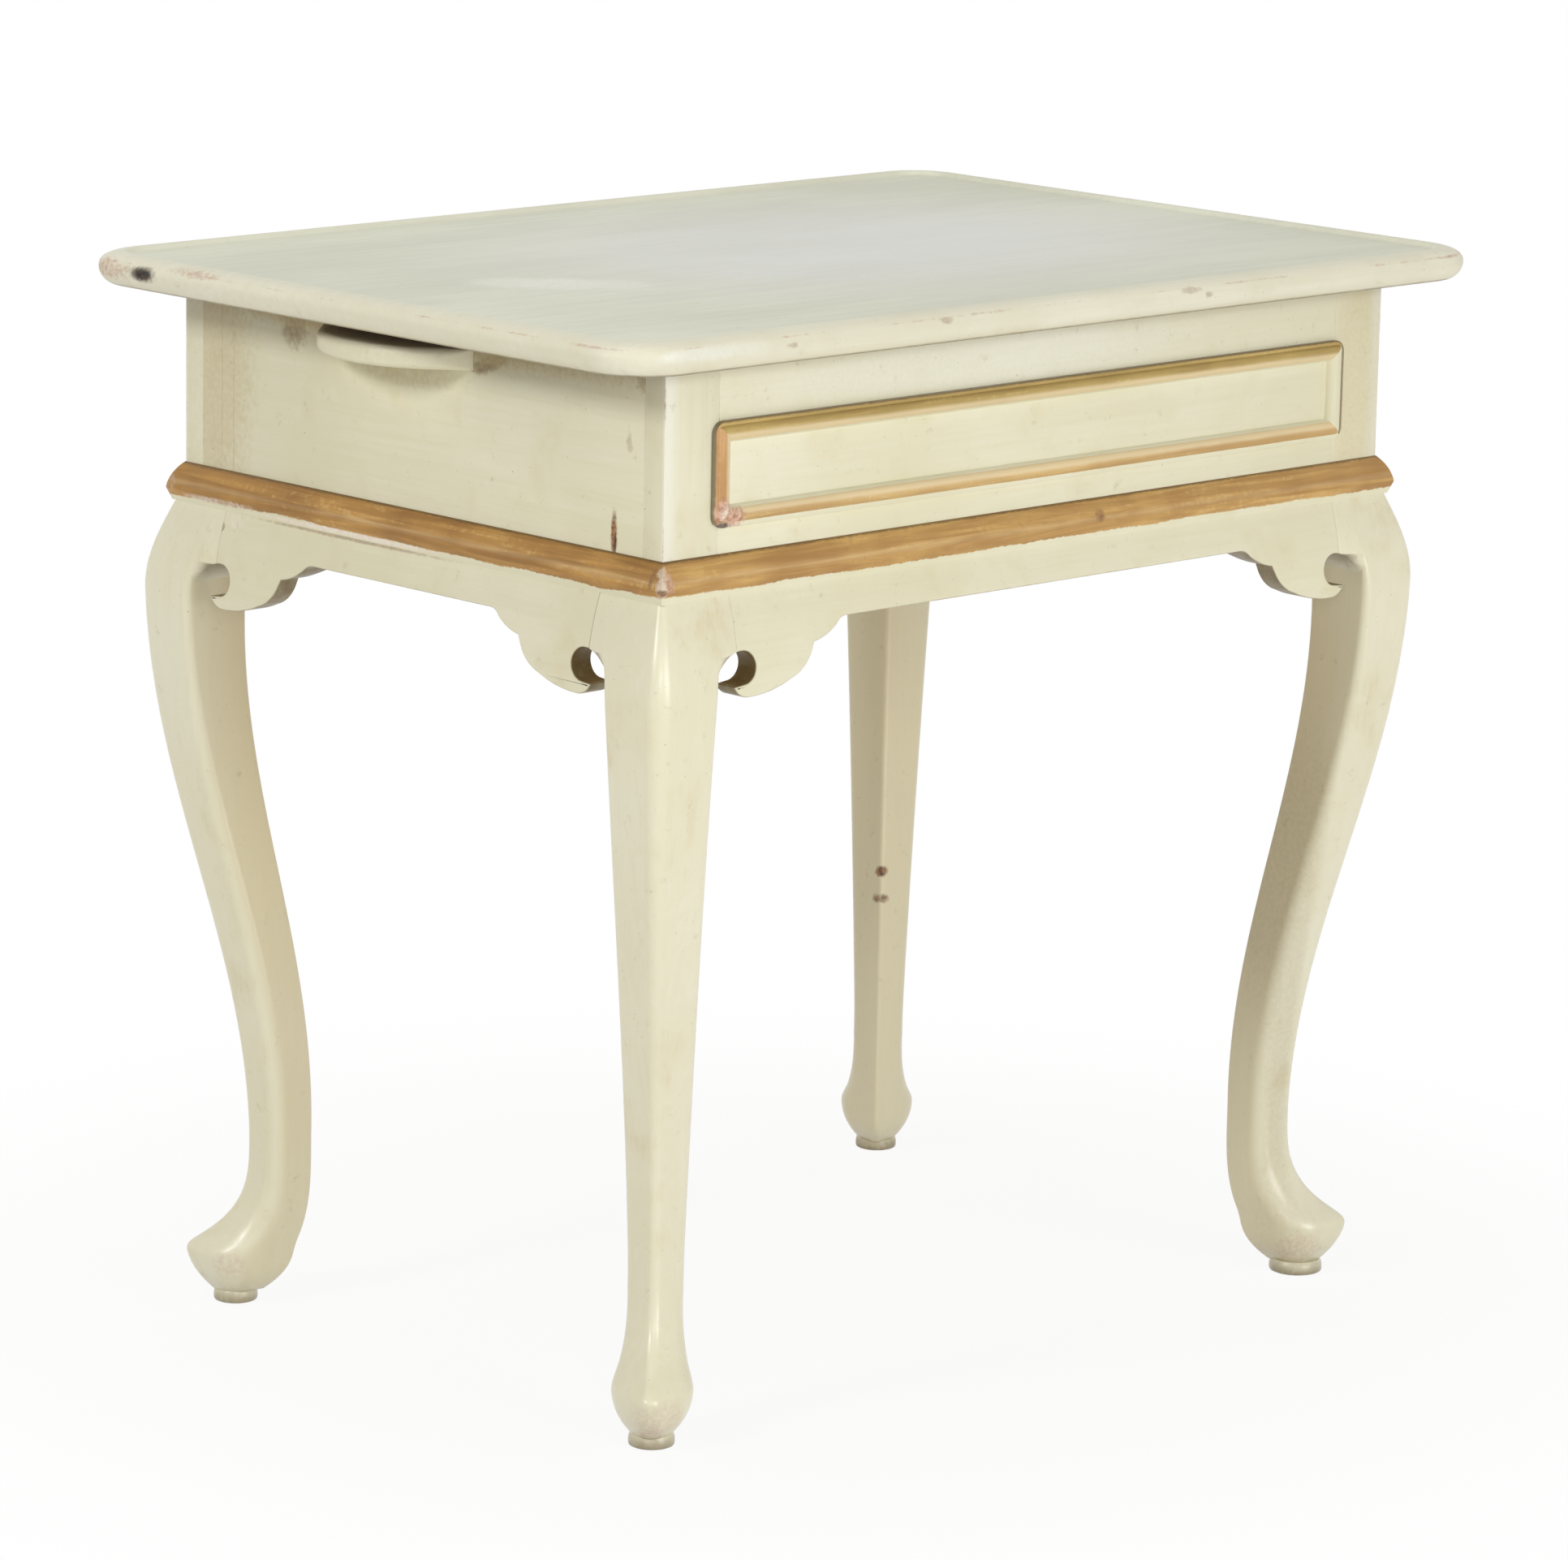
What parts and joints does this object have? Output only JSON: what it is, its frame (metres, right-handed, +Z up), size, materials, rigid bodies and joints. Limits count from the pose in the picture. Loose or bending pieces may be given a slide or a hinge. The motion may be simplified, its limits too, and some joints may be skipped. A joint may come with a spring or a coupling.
{
  "type": "tray top tea table",
  "caption": "Painted tray top tea table with a drawer, pull-out candle slides, scroll-bracket aprons and cabriole legs.",
  "frame": {"origin": "on the floor under the middle of the top", "axes": "+X along the table to its right end, +Y from the drawer to the back, +Z up"},
  "size_m": [0.786, 0.552, 0.72],
  "materials": {
    "cream_paint": "old brushed cream oil paint, satin, worn at the edges",
    "gilt": "rubbed ochre gilding",
    "bare_wood": "unpainted old pine"
  },
  "bodies": {
    "table": {"apron_back": "cream_paint", "apron_front": "cream_paint", "apron_left": "cream_paint", "apron_right": "cream_paint", "bottom_rail": "cream_paint", "case_back": "cream_paint", "case_end_left": "cream_paint", "case_end_right": "cream_paint", "drawer_guide_left": "bare_wood", "drawer_guide_right": "bare_wood", "drawer_kicker_left": "bare_wood", "drawer_kicker_right": "bare_wood", "drawer_runner_left": "bare_wood", "drawer_runner_right": "bare_wood", "front_stile_left": "cream_paint", "front_stile_right": "cream_paint", "leg_back_left": "cream_paint", "leg_back_right": "cream_paint", "leg_front_left": "cream_paint", "leg_front_right": "cream_paint", "slide_centre_stop": "bare_wood", "slide_guide_back": "bare_wood", "slide_guide_front": "bare_wood", "stand_glue_blocks": "bare_wood", "top_board": "cream_paint", "top_glue_blocks": "bare_wood", "top_rail": "cream_paint", "waist_moulding_back": "gilt", "waist_moulding_front": "gilt", "waist_moulding_left": "gilt", "waist_moulding_right": "gilt"},
    "drawer": {"drawer_front": "cream_paint", "drawer_side_left": "bare_wood", "drawer_side_right": "bare_wood", "drawer_back": "bare_wood", "drawer_bottom": "bare_wood", "drawer_bead_top": "gilt", "drawer_bead_bottom": "gilt", "drawer_bead_left": "gilt", "drawer_bead_right": "gilt"},
    "candle_slide_left": {"slide_left": "cream_paint", "slide_peg_left": "bare_wood"},
    "candle_slide_right": {"slide_right": "cream_paint", "slide_peg_right": "bare_wood"}
  },
  "joints": [
    {"name": "drawer_slide", "type": "slide", "parent": "table", "child": "drawer", "axis": [0, -1, 0], "range_m": [0, 0.3]},
    {"name": "left_candle_slide", "type": "slide", "parent": "table", "child": "candle_slide_left", "axis": [-1, 0, 0], "range_m": [0, 0.2195]},
    {"name": "right_candle_slide", "type": "slide", "parent": "table", "child": "candle_slide_right", "axis": [1, 0, 0], "range_m": [0, 0.2195]}
  ]
}
